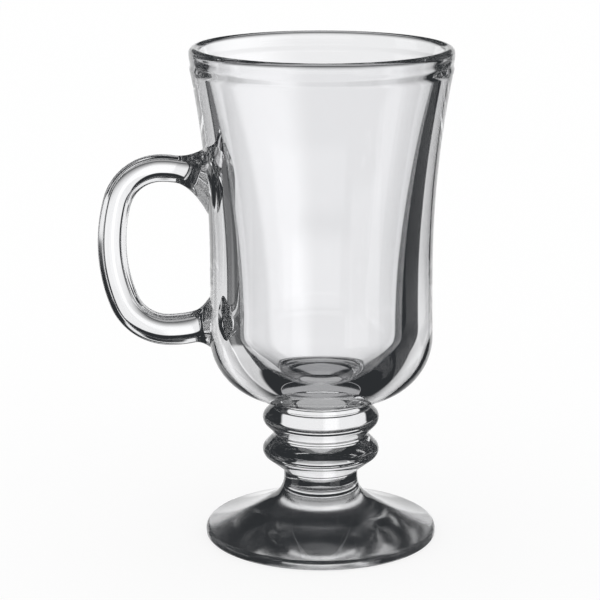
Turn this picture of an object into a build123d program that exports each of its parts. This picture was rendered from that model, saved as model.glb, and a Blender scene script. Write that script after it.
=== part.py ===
from build123d import *
import os
from math import atan2, cos, pi, radians, sin, sqrt, tan

# Irish coffee mug of clear glass. A flared bowl stands on a short stem with two rings
# and a trumpet foot, and an ear handle is stuck on its side. The pieces are gathers of
# glass that are fused face to face, so the two sides of each seat share one radius.
# Millimetres. The origin is on the mug's axis, in the plane that it stands on, and the
# handle points along -X.

# Foot
foot_radius = 34.3
foot_edge_height = 2.7
foot_edge_top_round = 1.3
foot_edge_bottom_round = 0.9
foot_height = 13.0
foot_shoulder_radius = 15.1
foot_shoulder_height = 10.5
foot_shoulder_slope = 30.0
foot_hollow_radius = 26.0
foot_hollow_depth = 0.4

# Stem
stem_height = 6.4
stem_radius = 10.95

# Rings
ring_radius = 17.25
ring_tip_round = 2.4
ring_flank_angle = 46.0
lower_ring_base_angle = 38.0
ring_groove_radius = 14.0
seat_land = 0.6
seat_cove = 1.0

# Bowl
rim_height = 146.0
rim_radius = 38.05
rim_wall = 3.3
rim_bead_height = 5.0
rim_groove_depth = 0.4
rim_shoulder_drop = 0.9
rim_shoulder_step = 0.25
waist_radius = 32.5
waist_height = 84.0
belly_radius = 32.8
belly_height = 61.5
neck_radius = 14.5
neck_cove = 1.6
neck_land = 0.9
bowl_floor_thickness = 7.6
bowl_inner_radius = 24.0
bowl_inner_corner = 16.0

# Handle
handle_reach = 64.9
handle_thickness = 7.9
handle_lower_thickness = 9.8
handle_flank_angle = 40.0
handle_side_round = 1.6
handle_front_round = 2.4
handle_middle_height = 88.0
handle_rise = 22.7
handle_fall = 25.5
handle_top_corner = 13.5
handle_top_bow = 1.2
handle_bottom_corner = 14.0
handle_bottom_bow = 2.2
upper_root_drop = 5.9
upper_root_thickness = 20.6
upper_flare_run = 10.0
lower_root_lift = 3.8
lower_root_thickness = 15.6
lower_flare_run = 4.8
root_depth = 3.0
handle_stations = 40


def ring_apex(upper_angle, lower_angle):
    """Radius where a ring's two flanks would meet, before its tip is rounded."""
    half_apex = radians(upper_angle + lower_angle) / 2
    tilt = radians(upper_angle - lower_angle) / 2
    return ring_radius - ring_tip_round + ring_tip_round / sin(half_apex) * cos(tilt)


# Heights of the seats and of the rings' tips, from the foot up
flank_rise = tan(radians(ring_flank_angle))
base_rise = tan(radians(lower_ring_base_angle))
lower_apex = ring_apex(ring_flank_angle, lower_ring_base_angle)
upper_apex = ring_apex(ring_flank_angle, ring_flank_angle)
foot_seat = foot_height
stem_seat = foot_seat + stem_height
lower_tip = stem_seat + seat_land + (lower_apex - stem_radius) * base_rise
groove_seat = lower_tip + (lower_apex - ring_groove_radius) * flank_rise + seat_land
upper_tip = groove_seat + seat_land + (upper_apex - ring_groove_radius) * flank_rise
bowl_seat = upper_tip + (upper_apex - neck_radius) * flank_rise + seat_land
bowl_floor = bowl_seat + bowl_floor_thickness

# The stem's flare into the foot: one arc from the straight stem down to the foot's shoulder
flare_turn = radians(90 - foot_shoulder_slope)
flare_radius = (foot_shoulder_radius - stem_radius) / (1 - cos(flare_turn))
flare_top = foot_shoulder_height + flare_radius * sin(flare_turn)
stem_bottom_radius = stem_radius + flare_radius - sqrt(flare_radius**2 - (flare_top - foot_seat) ** 2)

# The handle's centreline: its outermost point and its two crowns
outermost = (-(handle_reach - handle_thickness / 2), handle_middle_height)
top_crown = (outermost[0] + handle_top_corner + handle_top_bow, handle_middle_height + handle_rise)
bottom_crown = (
    outermost[0] + handle_bottom_corner + handle_bottom_bow,
    handle_middle_height - handle_fall,
)

os.makedirs("parts", exist_ok=True)


def ring_outline(bottom, bottom_radius, tip, apex, top, top_radius):
    """Half section of a ring between two seats, with a land beside each seat."""
    Polyline(
        (0, bottom),
        (bottom_radius, bottom),
        (bottom_radius, bottom + seat_land),
        (apex, tip),
        (top_radius, top - seat_land),
        (top_radius, top),
        (0, top),
        close=True,
    )


def round_ring(section):
    """Round the tip of a ring's section, and the coves where its flanks meet the lands."""
    fillet(section.vertices().group_by(Axis.Y)[2], ring_tip_round)
    levels = section.vertices().group_by(Axis.Y)
    fillet(levels[1] + levels[-2], seat_cove)


def bowl_outside():
    """Outer outline of the bowl, from its seat up to the outer edge of its lip."""
    neck_top = bowl_seat + neck_land
    neck = Line((neck_radius, bowl_seat), (neck_radius, neck_top))
    underside = (neck_radius + neck_cove, neck_top + neck_cove)
    waist = (waist_radius, waist_height)
    belly = TangentArc(waist, (belly_radius, belly_height), tangent=(0, -1))
    base = TangentArc(belly @ 1, underside, tangent=belly % 1)
    TangentArc(base @ 1, neck @ 1, tangent=base % 1)
    groove = (rim_radius - rim_groove_depth, rim_height - rim_bead_height)
    shoulder = (groove[0] + rim_shoulder_step, groove[1] - rim_shoulder_drop)
    TangentArc(waist, shoulder, tangent=(0, 1))
    Line(shoulder, groove)
    TangentArc((rim_radius, rim_height - rim_wall / 2), groove, tangent=(0, -1))


def handle_side(crown, corner, bow, root_height):
    """Centreline of half the handle, from its root past its crown to its outermost point."""
    drop = abs(crown[1] - handle_middle_height) - corner
    side_radius = corner + bow / 2 + drop**2 / (2 * bow)
    turn = atan2(drop, side_radius - corner - bow)
    rise = side_radius * sin(turn)
    meeting_height = handle_middle_height + (rise if crown[1] > handle_middle_height else -rise)
    meeting = (outermost[0] + side_radius * (1 - cos(turn)), meeting_height)
    TangentArc(crown, (-(waist_radius - root_depth), root_height), tangent=(1, 0))
    bend = TangentArc(crown, meeting, tangent=(-1, 0))
    TangentArc(bend @ 1, outermost, tangent=bend % 1)


def handle_bar_thickness(spot, share):
    """Thickness of the handle at a spot on its centreline, where both roots swell to the wall."""
    slim = handle_thickness + (handle_lower_thickness - handle_thickness) * share**2
    is_upper = spot.Z > handle_middle_height
    root = upper_root_thickness if is_upper else lower_root_thickness
    run = upper_flare_run if is_upper else lower_flare_run
    beyond_wall = -spot.X - waist_radius
    swell = min(1, max(0, 1 - beyond_wall / run)) ** 2
    return slim + (root - slim) * swell


def handle_section(thickness):
    """A diamond with soft ridges: blunt ones in front and behind, sharper ones where the mould parts."""
    size = thickness / handle_thickness
    flank = radians(handle_flank_angle)
    side_ridge = thickness / 2 + handle_side_round * size * (1 / sin(flank) - 1)
    front_ridge = side_ridge * tan(flank)
    Polygon((front_ridge, 0), (0, side_ridge), (-front_ridge, 0), (0, -side_ridge))


def round_ridges(section, thickness):
    """Round the four ridges of a handle section, in step with its thickness."""
    size = thickness / handle_thickness
    for across, radius in ((Axis.X, handle_front_round), (Axis.Y, handle_side_round)):
        ridges = section.vertices().group_by(across)
        fillet(ridges[0] + ridges[-1], radius * size)


with BuildPart() as foot:
    with BuildSketch(Plane.XZ) as foot_section:
        with BuildLine():
            slope = (cos(radians(foot_shoulder_slope)), -sin(radians(foot_shoulder_slope)))
            shoulder_edge = (foot_shoulder_radius, foot_shoulder_height)
            shoulder = TangentArc(
                shoulder_edge,
                (stem_bottom_radius, foot_seat),
                tangent=(-slope[0], -slope[1]),
            )
            top = TangentArc(shoulder_edge, (foot_radius, foot_edge_height), tangent=slope)
            Polyline(top @ 1, (foot_radius, 0), (foot_hollow_radius, 0))
            hollow = TangentArc((0, foot_hollow_depth), (foot_hollow_radius, 0), tangent=(1, 0))
            Polyline(hollow @ 0, (0, foot_seat), shoulder @ 1)
        make_face()
        fillet(foot_section.vertices().group_by(Axis.X)[-1].sort_by(Axis.Y)[-1], foot_edge_top_round)
        fillet(foot_section.vertices().group_by(Axis.X)[-1].sort_by(Axis.Y)[0], foot_edge_bottom_round)
    revolve(axis=Axis.Z)
foot.part.label = "foot"
export_step(foot.part, "parts/foot.step")

with BuildPart() as stem:
    with BuildSketch(Plane.XZ):
        with BuildLine():
            flare = TangentArc(
                (stem_radius, flare_top),
                (stem_bottom_radius, foot_seat),
                tangent=(0, -1),
            )
            Polyline(flare @ 1, (0, foot_seat), (0, stem_seat), (stem_radius, stem_seat), flare @ 0)
        make_face()
    revolve(axis=Axis.Z)
stem.part.label = "stem"
export_step(stem.part, "parts/stem.step")

with BuildPart() as lower_ring:
    with BuildSketch(Plane.XZ) as lower_ring_section:
        with BuildLine():
            ring_outline(stem_seat, stem_radius, lower_tip, lower_apex, groove_seat, ring_groove_radius)
        make_face()
        round_ring(lower_ring_section)
    revolve(axis=Axis.Z)
lower_ring.part.label = "lower_ring"
export_step(lower_ring.part, "parts/lower_ring.step")

with BuildPart() as upper_ring:
    with BuildSketch(Plane.XZ) as upper_ring_section:
        with BuildLine():
            ring_outline(groove_seat, ring_groove_radius, upper_tip, upper_apex, bowl_seat, neck_radius)
        make_face()
        round_ring(upper_ring_section)
    revolve(axis=Axis.Z)
upper_ring.part.label = "upper_ring"
export_step(upper_ring.part, "parts/upper_ring.step")

with BuildPart() as bowl:
    with BuildSketch(Plane.XZ):
        with BuildLine():
            bowl_outside()
            lip_height = rim_height - rim_wall / 2
            lip_inside = (rim_radius - rim_wall, lip_height)
            ThreePointArc(
                (rim_radius, lip_height),
                (rim_radius - rim_wall / 2, rim_height),
                lip_inside,
            )
            corner_top = (bowl_inner_radius, bowl_floor + bowl_inner_corner)
            TangentArc(corner_top, lip_inside, tangent=(0, 1))
            corner = TangentArc(
                corner_top,
                (bowl_inner_radius - bowl_inner_corner, bowl_floor),
                tangent=(0, -1),
            )
            Polyline(corner @ 1, (0, bowl_floor), (0, bowl_seat), (neck_radius, bowl_seat))
        make_face()
    revolve(axis=Axis.Z)
bowl.part.label = "bowl"
export_step(bowl.part, "parts/bowl.step")

with BuildPart() as handle:
    with BuildLine(Plane.XZ) as centreline:
        handle_side(top_crown, handle_top_corner, handle_top_bow, top_crown[1] - upper_root_drop)
        handle_side(
            bottom_crown, handle_bottom_corner, handle_bottom_bow, bottom_crown[1] + lower_root_lift
        )
    path = Wire(centreline.edges())
    starts_at_top = (path @ 0).Z > (path @ 1).Z
    for station in range(handle_stations + 1):
        along = (1 - cos(pi * station / handle_stations)) / 2
        spot = path @ along
        heading = path % along
        crown = top_crown if spot.Z > handle_middle_height else bottom_crown
        if spot.X > crown[0]:
            heading = Vector(heading.X, 0, 0)
        thickness = handle_bar_thickness(spot, along if starts_at_top else 1 - along)
        with BuildSketch(Plane(origin=spot, x_dir=(0, 1, 0), z_dir=heading)) as section:
            handle_section(thickness)
            round_ridges(section, thickness)
    loft()
    with BuildSketch(Plane.XZ):
        with BuildLine():
            bowl_outside()
            Polyline(
                (rim_radius, rim_height - rim_wall / 2),
                (0, rim_height - rim_wall / 2),
                (0, bowl_seat),
                (neck_radius, bowl_seat),
            )
        make_face()
    revolve(axis=Axis.Z, mode=Mode.SUBTRACT)
handle.part.label = "handle"
export_step(handle.part, "parts/handle.step")
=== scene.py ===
from math import atan2, ceil, cos, pi, radians, sin, sqrt, tan

import bmesh
import bpy
from mathutils import Matrix, Vector


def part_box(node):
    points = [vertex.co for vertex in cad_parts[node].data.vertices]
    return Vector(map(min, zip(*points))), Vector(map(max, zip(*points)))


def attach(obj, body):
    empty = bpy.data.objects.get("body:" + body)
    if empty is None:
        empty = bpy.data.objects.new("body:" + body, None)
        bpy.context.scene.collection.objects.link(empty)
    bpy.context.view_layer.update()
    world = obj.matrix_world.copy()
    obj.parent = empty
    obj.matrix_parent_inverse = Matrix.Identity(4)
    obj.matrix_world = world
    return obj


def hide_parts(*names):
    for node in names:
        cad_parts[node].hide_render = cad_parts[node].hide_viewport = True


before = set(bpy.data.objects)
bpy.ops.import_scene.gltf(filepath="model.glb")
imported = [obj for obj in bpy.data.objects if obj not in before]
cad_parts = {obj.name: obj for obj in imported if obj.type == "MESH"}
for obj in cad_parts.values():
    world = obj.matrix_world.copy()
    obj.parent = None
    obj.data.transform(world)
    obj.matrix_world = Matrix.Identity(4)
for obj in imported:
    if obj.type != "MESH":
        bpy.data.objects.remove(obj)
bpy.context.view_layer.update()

# Irish coffee mug of clear pressed glass, in metres, in the frame of its CAD nodes: the axis
# is Z, the standing ring is at height 0 and the handle points along -X.
MM = 0.001
BODY = "root"

# How finely forms are divided
TURN_STEPS = 256
ARC_STEP = radians(3.5)
ARC_LENGTH = 1.6 * MM
BAR_STEP = 0.8 * MM
ROUND_SEGMENTS = 14
FLANK_CUTS = 8

# Places nearer than these are the same place, in a piece and along the seam of a cut
MERGE = 0.001 * MM
SEAM = 0.01 * MM

# How sharp an edge has to be to stay crisp, and how far a face may lean where it still counts as
# flat, or as part of the underside
CREASE = radians(35)
FLAT_LEAN = radians(8)
UNDERSIDE_LEAN = radians(25)

# Places in a piece's list of materials, after that of its skin
SEAT_INDEX = 1
UNDERSIDE_INDEX = 2

# Sizes that the frame gives
FOOT_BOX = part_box("foot")
RING_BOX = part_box("lower_ring")
BOWL_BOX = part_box("bowl")
FOOT_RADIUS = FOOT_BOX[1].x
FOOT_SEAT = FOOT_BOX[1].z
STEM_SEAT = RING_BOX[0].z
GROOVE_SEAT = RING_BOX[1].z
RING_RADIUS = RING_BOX[1].x
BOWL_SEAT = BOWL_BOX[0].z
RIM_HEIGHT = BOWL_BOX[1].z
RIM_RADIUS = BOWL_BOX[1].x

# Foot
FOOT_EDGE_HEIGHT = 2.7 * MM
FOOT_EDGE_TOP_ROUND = 1.3 * MM
FOOT_EDGE_BOTTOM_ROUND = 0.9 * MM
FOOT_SHOULDER = Vector((15.1 * MM, 10.5 * MM))
FOOT_SHOULDER_SLOPE = radians(30)
FOOT_HOLLOW_RADIUS = 26.0 * MM
FOOT_HOLLOW_DEPTH = 0.4 * MM

# Stem
STEM_RADIUS = 10.95 * MM
FLARE_TURN = pi / 2 - FOOT_SHOULDER_SLOPE
FLARE_RADIUS = (FOOT_SHOULDER.x - STEM_RADIUS) / (1 - cos(FLARE_TURN))
FLARE_TOP = FOOT_SHOULDER.y + FLARE_RADIUS * sin(FLARE_TURN)
STEM_BOTTOM_RADIUS = STEM_RADIUS + FLARE_RADIUS - sqrt(FLARE_RADIUS**2 - (FLARE_TOP - FOOT_SEAT) ** 2)

# Rings
RING_TIP_ROUND = 2.4 * MM
RING_FLANK = radians(46)
LOWER_RING_BASE = radians(38)
GROOVE_RADIUS = 14.0 * MM
SEAT_LAND = 0.6 * MM
SEAT_COVE = 1.0 * MM

# Bowl
RIM_WALL = 3.3 * MM
RIM_BEAD_HEIGHT = 5.0 * MM
RIM_GROOVE_DEPTH = 0.4 * MM
RIM_SHOULDER_DROP = 0.9 * MM
RIM_SHOULDER_STEP = 0.25 * MM
WAIST = Vector((32.5 * MM, 84.0 * MM))
BELLY = Vector((32.8 * MM, 61.5 * MM))
NECK_RADIUS = 14.5 * MM
NECK_COVE = 1.6 * MM
NECK_LAND = 0.9 * MM
BOWL_FLOOR_THICKNESS = 7.6 * MM
BOWL_INNER_RADIUS = 24.0 * MM
BOWL_INNER_CORNER = 16.0 * MM

# Handle
HANDLE_REACH = 64.9 * MM
HANDLE_THICKNESS = 7.9 * MM
HANDLE_LOWER_THICKNESS = 9.8 * MM
HANDLE_FLANK = radians(40)
HANDLE_SIDE_ROUND = 1.6 * MM
HANDLE_FRONT_ROUND = 2.4 * MM
HANDLE_MIDDLE = 88.0 * MM
HANDLE_TOP = HANDLE_MIDDLE + 22.7 * MM
HANDLE_BOTTOM = HANDLE_MIDDLE - 25.5 * MM
HANDLE_TOP_CORNER = 13.5 * MM
HANDLE_TOP_BOW = 1.2 * MM
HANDLE_BOTTOM_CORNER = 14.0 * MM
HANDLE_BOTTOM_BOW = 2.2 * MM
UPPER_ROOT_DROP = 5.9 * MM
UPPER_ROOT_THICKNESS = 20.6 * MM
UPPER_FLARE_RUN = 10.0 * MM
LOWER_ROOT_LIFT = 3.8 * MM
LOWER_ROOT_THICKNESS = 15.6 * MM
LOWER_FLARE_RUN = 4.8 * MM
ROOT_RADIUS = 29.5 * MM

# Soda-lime glass: how strongly it bends light, its tint, and how fine the waves of its skin are
GLASS_IOR = 1.52
GLASS_TINT = "FEFEFF"
SKIN_DETAIL = 1.0
SKIN_ROUGHNESS = 0.4

# Directions in a section
UP = Vector((0, 1))
DOWN = Vector((0, -1))
OUT = Vector((1, 0))
IN = Vector((-1, 0))


def turned(direction, angle):
    """A section's direction, turned anticlockwise."""
    return Matrix.Rotation(angle, 2) @ direction


def arc_between(start, end, heading):
    """Centre, signed turn and length of the arc that leaves start along heading and reaches end."""
    chord = end - start
    side = Vector((-heading.y, heading.x))
    turn = 2 * atan2(chord.dot(side), chord.dot(heading))
    centre = start + side * (chord.length_squared / (2 * chord.dot(side)))
    return centre, turn, abs(turn) * (start - centre).length


def heading_at_start(start, end, arriving):
    """Heading with which an arc has to leave start to reach end along the heading arriving."""
    chord = (end - start).normalized()
    return 2 * arriving.dot(chord) * chord - arriving


class Outline:
    """A half section in the XZ plane, drawn as a chain of edges to be turned about the Z axis."""

    def __init__(self, bm, start, tip=None):
        self.bm = bm
        self.tip = tip or bm.verts.new((start.x, 0, start.y))
        self.place = start
        self.heading = OUT

    def line_to(self, end):
        self.heading = (end - self.place).normalized()
        self.tip = bmesh.ops.extrude_vert_indiv(self.bm, verts=[self.tip])["verts"][0]
        self.tip.co = (end.x, 0, end.y)
        self.place = end
        return self

    def arc_to(self, end, leaving=None, arriving=None):
        """A tangent arc. It goes on from the last heading unless one of its ends has its own."""
        if arriving:
            leaving = heading_at_start(self.place, end, arriving)
        leaving = leaving or self.heading
        centre, turn, length = arc_between(self.place, end, leaving)
        steps = max(ceil(abs(turn) / ARC_STEP), ceil(length / ARC_LENGTH))
        spun = bmesh.ops.spin(
            self.bm,
            geom=[self.tip],
            cent=(centre.x, 0, centre.y),
            axis=(0, 1, 0),
            angle=-turn,
            steps=steps,
        )
        self.tip = [v for v in spun["geom_last"] if isinstance(v, bmesh.types.BMVert)][0]
        self.heading = turned(leaving, turn)
        self.place = end
        return self


def piece(name, bm, materials):
    """A mesh object of its own at the origin, from a finished bmesh."""
    mesh = bpy.data.meshes.new(name)
    bm.to_mesh(mesh)
    bm.free()
    made = bpy.data.objects.new(name, mesh)
    bpy.context.scene.collection.objects.link(made)
    for material in materials:
        mesh.materials.append(material)
    return made


def smoothed(made):
    """Smooth shading with crisp creases, so that a seat's edge doesn't bend the light."""
    made.data.shade_smooth()
    made.data.set_sharp_from_angle(angle=CREASE)
    return made


def round_corner(bm, corner, radius):
    """Round one corner of a drawn outline with an arc of that radius."""
    arms = [edge.other_vert(corner).co - corner.co for edge in corner.link_edges]
    setback = radius / tan(arms[0].angle(arms[1]) / 2)
    bmesh.ops.bevel(
        bm,
        geom=[corner],
        offset=setback,
        offset_type="OFFSET",
        segments=ROUND_SEGMENTS,
        profile=0.5,
        affect="VERTICES",
        material=-1,
    )


def turn_about_axis(bm):
    """Turn the drawn outline into a closed solid."""
    bmesh.ops.spin(
        bm,
        geom=bm.verts[:] + bm.edges[:],
        cent=(0, 0, 0),
        axis=(0, 0, 1),
        angle=2 * pi,
        steps=TURN_STEPS,
        use_merge=True,
    )
    bmesh.ops.remove_doubles(bm, verts=bm.verts, dist=MERGE)
    bmesh.ops.recalc_face_normals(bm, faces=bm.faces)


def fuse_flat_seats(bm, *heights):
    """Give the flat faces at these heights the material of a fused seat."""
    for face in bm.faces:
        level = face.calc_center_median().z
        is_flat = abs(face.normal.z) > cos(FLAT_LEAN)
        if is_flat and any(abs(level - height) < MERGE for height in heights):
            face.material_index = SEAT_INDEX


def linear(code):
    """Linear colour of an sRGB hex code."""
    channels = [int(code[i:i + 2], 16) / 255 for i in (0, 2, 4)]
    return [c / 12.92 if c <= 0.04045 else ((c + 0.055) / 1.055) ** 2.4 for c in channels] + [1]


def add(tree, kind, inputs=None, **settings):
    """Add a node. An input is a value, or the output socket of another node to link."""
    made = tree.nodes.new(kind)
    for name, value in settings.items():
        setattr(made, name, value)
    for name, value in (inputs or {}).items():
        if isinstance(value, bpy.types.NodeSocket):
            tree.links.new(value, made.inputs[name])
        else:
            made.inputs[name].default_value = value
    return made


def new_material(name):
    """A material without nodes, and its tree."""
    material = bpy.data.materials.new(name)
    material.use_nodes = True
    material.node_tree.nodes.clear()
    return material, material.node_tree


def soda_lime_glass(name, wave_size, wave_height, roughness):
    """Clear soda-lime glass: it bends light strongly, is nearly colourless, and its skin keeps the
    small waves of its chilling and as much haze as its finish leaves."""
    material, tree = new_material(name)
    place = add(tree, "ShaderNodeTexCoord").outputs["Object"]
    waves = add(
        tree,
        "ShaderNodeTexNoise",
        {"Vector": place, "Scale": 1 / wave_size, "Detail": SKIN_DETAIL, "Roughness": SKIN_ROUGHNESS},
    )
    skin = add(
        tree,
        "ShaderNodeBump",
        {"Height": waves.outputs["Fac"], "Strength": 1.0, "Distance": wave_height},
    )
    glass = add(
        tree,
        "ShaderNodeBsdfPrincipled",
        {
            "Base Color": linear(GLASS_TINT),
            "Roughness": roughness,
            "IOR": GLASS_IOR,
            "Transmission Weight": 1.0,
            "Normal": skin.outputs["Normal"],
        },
    )
    add(tree, "ShaderNodeOutputMaterial", {"Surface": glass.outputs["BSDF"]})
    return material


def fused_seat():
    """The seat between two pieces that were fused while hot: glass runs on into glass, so
    nothing shows there."""
    material, tree = new_material("Fused glass seat")
    clear = add(tree, "ShaderNodeBsdfTransparent")
    add(tree, "ShaderNodeOutputMaterial", {"Surface": clear.outputs["BSDF"]})
    return material


# The bowl is fire-polished, so its walls are clear and only bend the light in long waves. The rings,
# the stem and the foot keep shorter waves from the mould. The handle was drawn and stuck on by hand,
# which leaves ripples. The foot's underside keeps the haze of the plate that it stood on while it
# set, which softens what is seen through the foot. Each has the size and height of its waves, then
# its roughness.
POLISHED = soda_lime_glass("Fire-polished soda-lime glass", 16 * MM, 0.02 * MM, 0.0)
PRESSED = soda_lime_glass("Mould-pressed soda-lime glass", 9 * MM, 0.012 * MM, 0.0)
DRAWN = soda_lime_glass("Hand-drawn soda-lime glass", 6 * MM, 0.012 * MM, 0.0)
HAZED = soda_lime_glass("Plate-chilled soda-lime glass", 5 * MM, 0.02 * MM, 0.13)
SEAT = fused_seat()


def make_foot():
    """Trumpet foot: a hollow underside, a rounded edge and a long slope up to the stem."""
    bm = bmesh.new()
    slope = turned(OUT, -FOOT_SHOULDER_SLOPE)
    outline = Outline(bm, Vector((0, FOOT_SEAT)))
    outline.line_to(Vector((STEM_BOTTOM_RADIUS, FOOT_SEAT)))
    outline.arc_to(FOOT_SHOULDER, arriving=slope)
    outline.arc_to(Vector((FOOT_RADIUS, FOOT_EDGE_HEIGHT)), leaving=slope)
    edge_top = outline.tip
    outline.line_to(Vector((FOOT_RADIUS, 0)))
    edge_bottom = outline.tip
    outline.line_to(Vector((FOOT_HOLLOW_RADIUS, 0)))
    outline.arc_to(Vector((0, FOOT_HOLLOW_DEPTH)), arriving=IN)
    for corner, size in ((edge_top, FOOT_EDGE_TOP_ROUND), (edge_bottom, FOOT_EDGE_BOTTOM_ROUND)):
        round_corner(bm, corner, size)
    turn_about_axis(bm)
    fuse_flat_seats(bm, FOOT_SEAT)
    for face in bm.faces:
        if face.normal.z < -cos(UNDERSIDE_LEAN):
            face.material_index = UNDERSIDE_INDEX
    return smoothed(piece("foot_glass", bm, [PRESSED, SEAT, HAZED]))


def make_stem():
    """Short straight stem that flares out below into the foot."""
    bm = bmesh.new()
    outline = Outline(bm, Vector((0, STEM_SEAT)))
    outline.line_to(Vector((STEM_RADIUS, STEM_SEAT)))
    outline.line_to(Vector((STEM_RADIUS, FLARE_TOP)))
    outline.arc_to(Vector((STEM_BOTTOM_RADIUS, FOOT_SEAT)), leaving=DOWN)
    outline.line_to(Vector((0, FOOT_SEAT)))
    turn_about_axis(bm)
    fuse_flat_seats(bm, FOOT_SEAT, STEM_SEAT)
    return smoothed(piece("stem_glass", bm, [PRESSED, SEAT]))


def ring_apex(upper_flank, lower_flank):
    """Radius where a ring's flanks would meet if its tip weren't rounded."""
    half_apex = (upper_flank + lower_flank) / 2
    tilt = (upper_flank - lower_flank) / 2
    return RING_RADIUS - RING_TIP_ROUND + RING_TIP_ROUND / sin(half_apex) * cos(tilt)


def make_ring(name, bottom, bottom_radius, lower_flank, top, top_radius):
    """A rounded ring between two seats, with a cove and a short land beside each seat."""
    bm = bmesh.new()
    apex = ring_apex(RING_FLANK, lower_flank)
    tip_height = bottom + SEAT_LAND + (apex - bottom_radius) * tan(lower_flank)
    outline = Outline(bm, Vector((0, bottom)))
    outline.line_to(Vector((bottom_radius, bottom)))
    outline.line_to(Vector((bottom_radius, bottom + SEAT_LAND)))
    lower_cove = outline.tip
    outline.line_to(Vector((apex, tip_height)))
    tip = outline.tip
    outline.line_to(Vector((top_radius, top - SEAT_LAND)))
    upper_cove = outline.tip
    outline.line_to(Vector((top_radius, top)))
    outline.line_to(Vector((0, top)))
    for corner, size in ((tip, RING_TIP_ROUND), (lower_cove, SEAT_COVE), (upper_cove, SEAT_COVE)):
        round_corner(bm, corner, size)
    turn_about_axis(bm)
    fuse_flat_seats(bm, bottom, top)
    return smoothed(piece(name, bm, [PRESSED, SEAT]))


def draw_bowl_outside(bm):
    """Outer outline of the bowl: one chain from its waist down to the seat's edge, one up to the
    lip."""
    lower = Outline(bm, WAIST)
    upper = Outline(bm, WAIST, lower.tip)
    neck_top = BOWL_SEAT + NECK_LAND
    lower.arc_to(BELLY, leaving=DOWN)
    lower.arc_to(Vector((NECK_RADIUS + NECK_COVE, neck_top + NECK_COVE)))
    lower.arc_to(Vector((NECK_RADIUS, neck_top)))
    lower.line_to(Vector((NECK_RADIUS, BOWL_SEAT)))
    groove = Vector((RIM_RADIUS - RIM_GROOVE_DEPTH, RIM_HEIGHT - RIM_BEAD_HEIGHT))
    upper.arc_to(groove + Vector((RIM_SHOULDER_STEP, -RIM_SHOULDER_DROP)), leaving=UP)
    upper.line_to(groove)
    upper.arc_to(Vector((RIM_RADIUS, RIM_HEIGHT - RIM_WALL / 2)), arriving=UP)
    return lower, upper


def make_bowl():
    """Bell-shaped bowl: a thick round base, a waist and a flare up to a beaded lip."""
    bm = bmesh.new()
    lower, upper = draw_bowl_outside(bm)
    lower.line_to(Vector((0, BOWL_SEAT)))
    lip_inside = Vector((RIM_RADIUS - RIM_WALL, RIM_HEIGHT - RIM_WALL / 2))
    upper.arc_to(Vector((RIM_RADIUS - RIM_WALL / 2, RIM_HEIGHT)), leaving=UP)
    upper.arc_to(lip_inside)
    bowl_floor = BOWL_SEAT + BOWL_FLOOR_THICKNESS
    corner_top = Vector((BOWL_INNER_RADIUS, bowl_floor + BOWL_INNER_CORNER))
    upper.arc_to(corner_top, arriving=DOWN)
    upper.arc_to(Vector((BOWL_INNER_RADIUS - BOWL_INNER_CORNER, bowl_floor)), leaving=DOWN)
    upper.line_to(Vector((0, bowl_floor)))
    turn_about_axis(bm)
    fuse_flat_seats(bm, BOWL_SEAT)
    return piece("bowl_glass", bm, [POLISHED, SEAT])


def make_bowl_envelope():
    """The bowl's outer form as a plain solid, which the handle's roots are fitted to."""
    bm = bmesh.new()
    lower, upper = draw_bowl_outside(bm)
    lower.line_to(Vector((0, BOWL_SEAT)))
    upper.line_to(Vector((0, RIM_HEIGHT - RIM_WALL / 2)))
    turn_about_axis(bm)
    return piece("bowl_envelope", bm, [SEAT])


def handle_arcs():
    """The handle's centreline from its upper root to its lower one, as (start, end, heading, facing).
    Facing is given where the sections stay upright, which is between a crown and its root."""
    reach = HANDLE_REACH - HANDLE_THICKNESS / 2
    halves = []
    for crown_height, corner, bow, root_height in (
        (HANDLE_TOP, HANDLE_TOP_CORNER, HANDLE_TOP_BOW, HANDLE_TOP - UPPER_ROOT_DROP),
        (HANDLE_BOTTOM, HANDLE_BOTTOM_CORNER, HANDLE_BOTTOM_BOW, HANDLE_BOTTOM + LOWER_ROOT_LIFT),
    ):
        drop = abs(crown_height - HANDLE_MIDDLE) - corner
        side_radius = corner + bow / 2 + drop ** 2 / (2 * bow)
        turn = atan2(drop, side_radius - corner - bow)
        rise = side_radius * sin(turn) * (1 if crown_height > HANDLE_MIDDLE else -1)
        meeting = Vector((-(reach - side_radius + side_radius * cos(turn)), HANDLE_MIDDLE + rise))
        crown = Vector((-(reach - corner - bow), crown_height))
        root = Vector((-ROOT_RADIUS, root_height))
        halves.append((root, crown, meeting))
    outermost = Vector((-reach, HANDLE_MIDDLE))
    (top_root, top_crown, top_meeting), (low_root, low_crown, low_meeting) = halves
    return [
        (top_root, top_crown, heading_at_start(top_root, top_crown, IN), IN),
        (top_crown, top_meeting, IN, None),
        (top_meeting, outermost, None, None),
        (outermost, low_meeting, DOWN, None),
        (low_meeting, low_crown, None, None),
        (low_crown, low_root, OUT, OUT),
    ]


def bar_thickness(place, share):
    """Thickness of the handle at a place on its centreline, where both roots swell to the wall."""
    slim = HANDLE_THICKNESS + (HANDLE_LOWER_THICKNESS - HANDLE_THICKNESS) * share ** 2
    is_upper = place.y > HANDLE_MIDDLE
    root, run = (
        (UPPER_ROOT_THICKNESS, UPPER_FLARE_RUN) if is_upper else (LOWER_ROOT_THICKNESS, LOWER_FLARE_RUN)
    )
    beyond_wall = -place.x - WAIST.x
    swell = min(1, max(0, 1 - beyond_wall / run)) ** 2
    return slim + (root - slim) * swell


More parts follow.
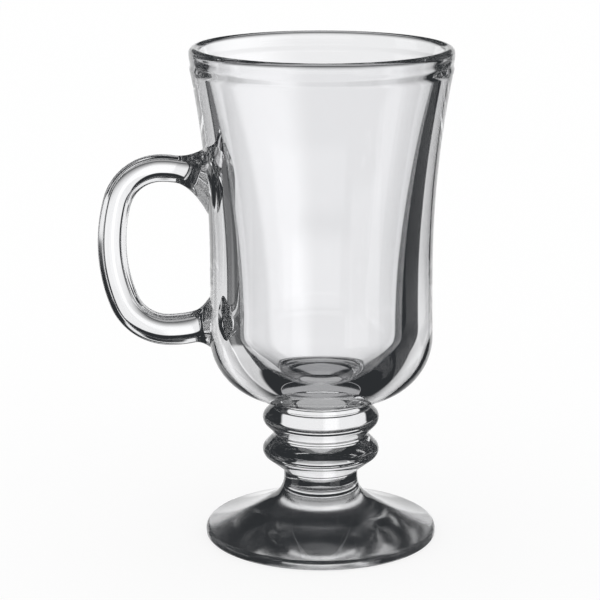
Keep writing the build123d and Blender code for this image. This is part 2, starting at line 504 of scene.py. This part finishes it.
def section_place(place, heading, share):
    """Matrix that sets the handle's section square across it, at its size there."""
    across = Vector((-heading.y, 0, heading.x))
    along = Vector((heading.x, 0, heading.y))
    matrix = Matrix((Vector((0, 1, 0)), across, along)).transposed()
    matrix *= bar_thickness(place, share) / HANDLE_THICKNESS
    return Matrix.Translation((place.x, 0, place.y)) @ matrix.to_4x4()


def draw_handle_section(bm):
    """The handle's section: a diamond with soft ridges, the sharper two where the mould parted."""
    side_ridge = HANDLE_THICKNESS / 2 + HANDLE_SIDE_ROUND * (1 / sin(HANDLE_FLANK) - 1)
    bmesh.ops.create_circle(bm, cap_ends=False, segments=4, radius=side_ridge)
    bmesh.ops.scale(bm, vec=(tan(HANDLE_FLANK), 1, 1), verts=bm.verts)
    for ridge in bm.verts[:]:
        round_corner(bm, ridge, HANDLE_FRONT_ROUND if abs(ridge.co.x) > MERGE else HANDLE_SIDE_ROUND)
    longest = max(edge.calc_length() for edge in bm.edges)
    flanks = [edge for edge in bm.edges if edge.calc_length() > longest / 2]
    bmesh.ops.subdivide_edges(bm, edges=flanks, cuts=FLANK_CUTS)
    bmesh.ops.contextual_create(bm, geom=bm.edges[:])


def handle_stations():
    """Stations along the handle's centreline, as (place, facing, share of its length)."""
    stations = []
    travelled = 0
    heading = None
    for start, end, leaving, facing in handle_arcs():
        leaving = leaving or heading
        centre, turn, length = arc_between(start, end, leaving)
        steps = ceil(length / BAR_STEP)
        for step in range(steps):
            angle = turn * step / steps
            place = centre + turned(start - centre, angle)
            across = facing or turned(leaving, angle)
            stations.append((place, across, travelled + length * step / steps))
        travelled += length
        heading = turned(leaving, turn)
    stations.append((end, facing, travelled))
    return [(place, across, distance / travelled) for place, across, distance in stations]


def make_handle_bar():
    """The ear handle as one swept bar, with both its roots still running into the bowl's wall."""
    root, *others = handle_stations()
    bm = bmesh.new()
    draw_handle_section(bm)
    edges = bm.edges[:]
    last = section_place(*root)
    bmesh.ops.transform(bm, matrix=last, verts=bm.verts)
    for station in others:
        grown = bmesh.ops.extrude_edge_only(bm, edges=edges)["geom"]
        ring = [part for part in grown if isinstance(part, bmesh.types.BMVert)]
        edges = [e for e in grown if isinstance(e, bmesh.types.BMEdge) and set(e.verts) <= set(ring)]
        spot = section_place(*station)
        bmesh.ops.transform(bm, matrix=spot @ last.inverted(), verts=ring)
        last = spot
    bmesh.ops.contextual_create(bm, geom=edges)
    bmesh.ops.recalc_face_normals(bm, faces=bm.faces)
    return piece("handle_glass", bm, [DRAWN])


def cut(made, tool, operation):
    """Combine a piece with another solid; faces of the tool bring their own material along."""
    step = made.modifiers.new("cut", "BOOLEAN")
    step.operation = operation
    step.object = tool
    step.solver = "EXACT"
    step.material_mode = "TRANSFER"
    bpy.context.view_layer.update()
    seen = made.evaluated_get(bpy.context.evaluated_depsgraph_get())
    mesh = bpy.data.meshes.new_from_object(seen)
    made.modifiers.clear()
    made.data = mesh
    return made


def copy_of(made, material=None):
    """A loose copy of a piece, in another material if one is given."""
    twin = made.copy()
    twin.data = made.data.copy()
    bpy.context.scene.collection.objects.link(twin)
    if material:
        twin.data.materials.clear()
        twin.data.materials.append(material)
    return twin


def keep_faces(bm, mesh, material, kept):
    """Keep only the faces in a material or, where kept is false, only the others."""
    index = mesh.materials.find(material.name)
    gone = [face for face in bm.faces if (face.material_index == index) != kept]
    bmesh.ops.delete(bm, geom=gone, context="FACES")


def close_seam(bm, mesh):
    """Merge the slivers that a cut leaves along its seam, split its odd faces into triangles, and
    hand the mesh back."""
    bmesh.ops.remove_doubles(bm, verts=bm.verts, dist=SEAM)
    bmesh.ops.dissolve_degenerate(bm, dist=SEAM, edges=bm.edges)
    bmesh.ops.triangulate(bm, faces=[face for face in bm.faces if len(face.verts) > 4])
    bm.to_mesh(mesh)
    bm.free()


def fuse_handle(bowl, bar):
    """Fit the handle's roots to the wall, and mark the two fused patches on both pieces."""
    pocket = bpy.data.materials.new("pocket")
    envelope = make_bowl_envelope()
    plug = copy_of(bar, pocket)
    cut(bar, envelope, "DIFFERENCE")
    patch = cut(copy_of(envelope), plug, "INTERSECT")
    cut(bowl, plug, "DIFFERENCE")
    bm = bmesh.new()
    bm.from_mesh(bowl.data)
    keep_faces(bm, bowl.data, pocket, False)
    patch_bm = bmesh.new()
    patch_bm.from_mesh(patch.data)
    keep_faces(patch_bm, patch.data, SEAT, True)
    for face in patch_bm.faces:
        face.material_index = SEAT_INDEX
    patch_bm.to_mesh(patch.data)
    patch_bm.free()
    bm.from_mesh(patch.data)
    close_seam(bm, bowl.data)
    bar_bm = bmesh.new()
    bar_bm.from_mesh(bar.data)
    close_seam(bar_bm, bar.data)
    for scrap in (envelope, plug, patch):
        bpy.data.objects.remove(scrap)
    bowl.data.materials.pop(index=bowl.data.materials.find(pocket.name))
    bpy.data.materials.remove(pocket)
    smoothed(bowl)
    smoothed(bar)


bowl = make_bowl()
handle = make_handle_bar()
fuse_handle(bowl, handle)
upper_ring = make_ring(
    "upper_ring_glass", GROOVE_SEAT, GROOVE_RADIUS, RING_FLANK, BOWL_SEAT, NECK_RADIUS
)
lower_ring = make_ring(
    "lower_ring_glass", STEM_SEAT, STEM_RADIUS, LOWER_RING_BASE, GROOVE_SEAT, GROOVE_RADIUS
)
stem = make_stem()
foot = make_foot()

for made, node in (
    (bowl, "bowl"),
    (handle, "handle"),
    (upper_ring, "upper_ring"),
    (lower_ring, "lower_ring"),
    (stem, "stem"),
    (foot, "foot"),
):
    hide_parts(node)
    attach(made, BODY)


# The camera, level across and pitched down a little, as far off as the picture's perspective says
CAMERA_PLACE = Vector((-6.2, -625.6, 226.8)) * MM
CAMERA_PITCH = radians(13.95)
CAMERA_LENS = 131.9

camera_data = bpy.data.cameras.new("camera")
camera_data.lens = CAMERA_LENS
camera = bpy.data.objects.new("camera", camera_data)
camera.location = CAMERA_PLACE
camera.rotation_euler = (pi / 2 - CAMERA_PITCH, 0, 0)
bpy.context.scene.collection.objects.link(camera)
bpy.context.scene.camera = camera

# White cards round the mug, as (bearing, half width, lowest, highest, level, fade), in degrees but
# for the level. A bearing of 0 is straight behind the mug, and a quarter turn is to its right.
# Heights are above the horizon. The lower edge is as soft as its fade, the others as CARD_EDGE.
CARD_EDGE = 3
CARDS = (
    (-3, 32, -28, 10, 0.9, 28),  # broad, straight behind
    (0, 29, -90, -40, 0.4, 6),  # behind, far down
    (-6, 4.5, -28, 10, 0.16, 28),  # narrow strip that brightens the broad one
    (-6, 4, -21, -19, 0.12, 2),  # small spot low in that strip
    (-48, 16, -45, -26, 0.62, 4),  # behind on the left, low
    (-45, 7, -26, -17, 0.13, 3),  # dim, just above that
    (-90, 15, -18, 5, 0.95, 8),  # on the left
    (135, 16, -21, -9, 0.95, 3),  # in front on the right
    (180, 30, -17, -8, 0.9, 3),  # straight in front
)
DARK_ROOM = linear("2D2F31")

# Light runs on inside the rim and the handle for many turns before it leaves the glass
LIGHT_BOUNCES = 128

# The table's width in metres, and the share of its white that a shadow can take away
FLOOR_SIZE = 6.0
FLOOR_SHADE = 0.2


def card_level(tree, bearing, height, card):
    """Brightness that one white card gives in the direction looked at."""
    middle, half_width, lowest, highest, level, fade = card
    turn = add(tree, "ShaderNodeMath", {0: bearing, 1: radians(middle)}, operation="SUBTRACT").outputs[0]
    turn = add(tree, "ShaderNodeMath", {0: turn, 1: -pi, 2: pi}, operation="WRAP").outputs[0]
    turn = add(tree, "ShaderNodeMath", {0: turn}, operation="ABSOLUTE").outputs[0]
    masks = []
    for value, edge, soft, falling in (
        (turn, half_width, CARD_EDGE, True),
        (height, highest, CARD_EDGE, True),
        (height, lowest, fade, False),
    ):
        ends = (1.0, 0.0) if falling else (0.0, 1.0)
        masks.append(
            add(
                tree,
                "ShaderNodeMapRange",
                {
                    "Value": value,
                    "From Min": radians(edge - soft / 2),
                    "From Max": radians(edge + soft / 2),
                    "To Min": ends[0],
                    "To Max": ends[1],
                },
                interpolation_type="SMOOTHSTEP",
            ).outputs[0]
        )
    seen, *others = masks
    for factor in (*others, level):
        seen = add(tree, "ShaderNodeMath", {0: seen, 1: factor}, operation="MULTIPLY").outputs[0]
    return seen


def plain_sight(tree):
    """1 where the eye or a matt surface looks, 0 where glass does."""
    path = add(tree, "ShaderNodeLightPath")
    return add(
        tree,
        "ShaderNodeMath",
        {0: path.outputs["Is Camera Ray"], 1: path.outputs["Is Diffuse Ray"]},
        operation="MAXIMUM",
    ).outputs[0]


def make_studio():
    """White all round to the eye and to the floor. Glass sees a dark room with white cards in it,
    which draws its edges dark and its middle light."""
    world = bpy.data.worlds.new("studio")
    bpy.context.scene.world = world
    world.use_nodes = True
    tree = world.node_tree
    tree.nodes.clear()
    direction = add(tree, "ShaderNodeTexCoord").outputs["Generated"]
    split = add(tree, "ShaderNodeSeparateXYZ", {"Vector": direction})
    bearing = add(
        tree, "ShaderNodeMath", {0: split.outputs["X"], 1: split.outputs["Y"]}, operation="ARCTAN2"
    ).outputs[0]
    height = add(tree, "ShaderNodeMath", {0: split.outputs["Z"]}, operation="ARCSINE").outputs[0]
    level = 0.0
    for card in CARDS:
        seen = card_level(tree, bearing, height, card)
        level = add(tree, "ShaderNodeMath", {0: seen, 1: level}, operation="ADD").outputs[0]
    room = add(tree, "ShaderNodeBackground", {"Color": DARK_ROOM})
    cards = add(tree, "ShaderNodeBackground", {"Color": (1, 1, 1, 1), "Strength": level})
    set_up = add(tree, "ShaderNodeAddShader", {0: room.outputs[0], 1: cards.outputs[0]})
    white = add(tree, "ShaderNodeBackground", {"Color": (1, 1, 1, 1)})
    light = add(
        tree,
        "ShaderNodeMixShader",
        {"Fac": plain_sight(tree), 1: set_up.outputs[0], 2: white.outputs[0]},
    )
    add(tree, "ShaderNodeOutputWorld", {"Surface": light.outputs[0]})


def make_floor():
    """Matt white table that keeps a faint shadow. Glass looks past it, at the cards."""
    bm = bmesh.new()
    bmesh.ops.create_grid(bm, x_segments=1, y_segments=1, size=FLOOR_SIZE / 2)
    material, tree = new_material("Matt white table")
    glow = add(tree, "ShaderNodeEmission", {"Color": (1, 1, 1, 1), "Strength": 1.0})
    matt = add(tree, "ShaderNodeBsdfDiffuse", {"Color": (1, 1, 1, 1)})
    shaded = add(
        tree, "ShaderNodeMixShader", {"Fac": FLOOR_SHADE, 1: glow.outputs[0], 2: matt.outputs[0]}
    )
    add(tree, "ShaderNodeOutputMaterial", {"Surface": shaded.outputs[0]})
    floor = piece("floor", bm, [material])
    floor.visible_glossy = False
    floor.visible_transmission = False


make_studio()
make_floor()

scene = bpy.context.scene
scene.view_settings.view_transform = "Standard"
scene.cycles.max_bounces = LIGHT_BOUNCES
scene.cycles.transmission_bounces = LIGHT_BOUNCES
scene.cycles.glossy_bounces = LIGHT_BOUNCES
scene.cycles.transparent_max_bounces = LIGHT_BOUNCES
scene.cycles.caustics_reflective = False
scene.cycles.caustics_refractive = False
